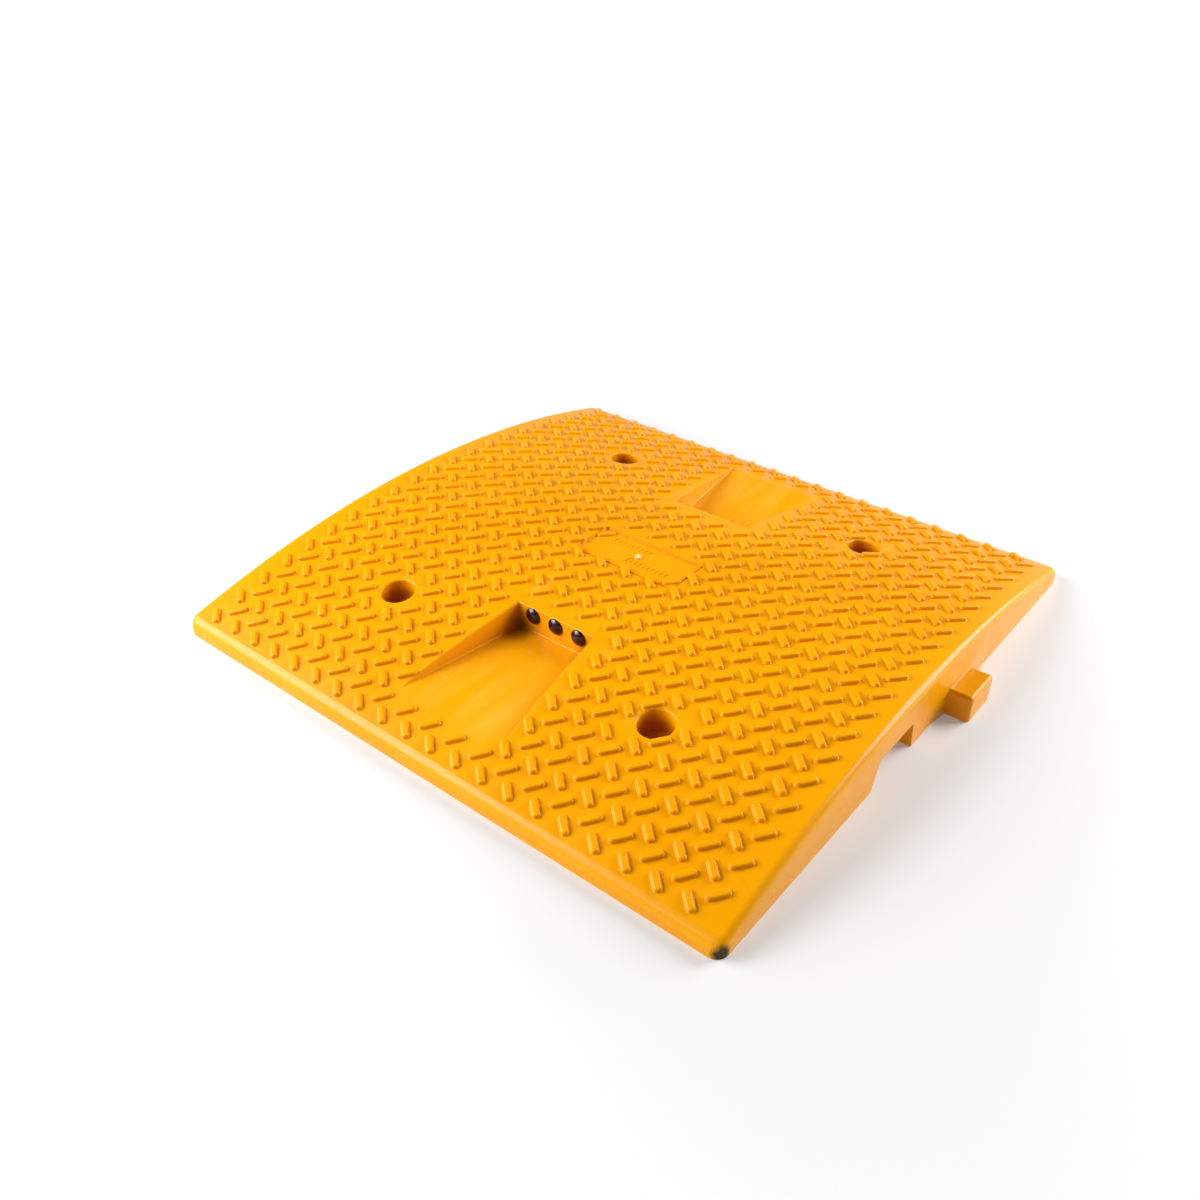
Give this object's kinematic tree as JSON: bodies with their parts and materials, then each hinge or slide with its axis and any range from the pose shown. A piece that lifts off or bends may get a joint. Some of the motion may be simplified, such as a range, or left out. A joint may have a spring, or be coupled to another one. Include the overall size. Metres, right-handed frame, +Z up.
{
  "type": "rubber speed bump",
  "caption": "Arched bolt-down road speed bump module with slanted tread bars, red reflectors in two side recesses and interlocking end tongues.",
  "frame": {"origin": "centre of the footprint, at road level", "axes": "+X along the hump towards the next module, the way one tongue points; +Y direction of travel; +Z up"},
  "size_m": [0.54, 0.5, 0.0492],
  "materials": {
    "yellow_rubber": "moulded semi-gloss, coloured through",
    "cup_metal": "bright pressed",
    "red_lens": "polished dome"
  },
  "bodies": {
    "root": {"body": "yellow_rubber", "front_cup_left": "cup_metal", "front_cup_centre": "cup_metal", "front_cup_right": "cup_metal", "rear_cup_left": "cup_metal", "rear_cup_centre": "cup_metal", "rear_cup_right": "cup_metal", "front_lens_left": "red_lens", "front_lens_centre": "red_lens", "front_lens_right": "red_lens", "rear_lens_left": "red_lens", "rear_lens_centre": "red_lens", "rear_lens_right": "red_lens"}
  },
  "joints": []
}
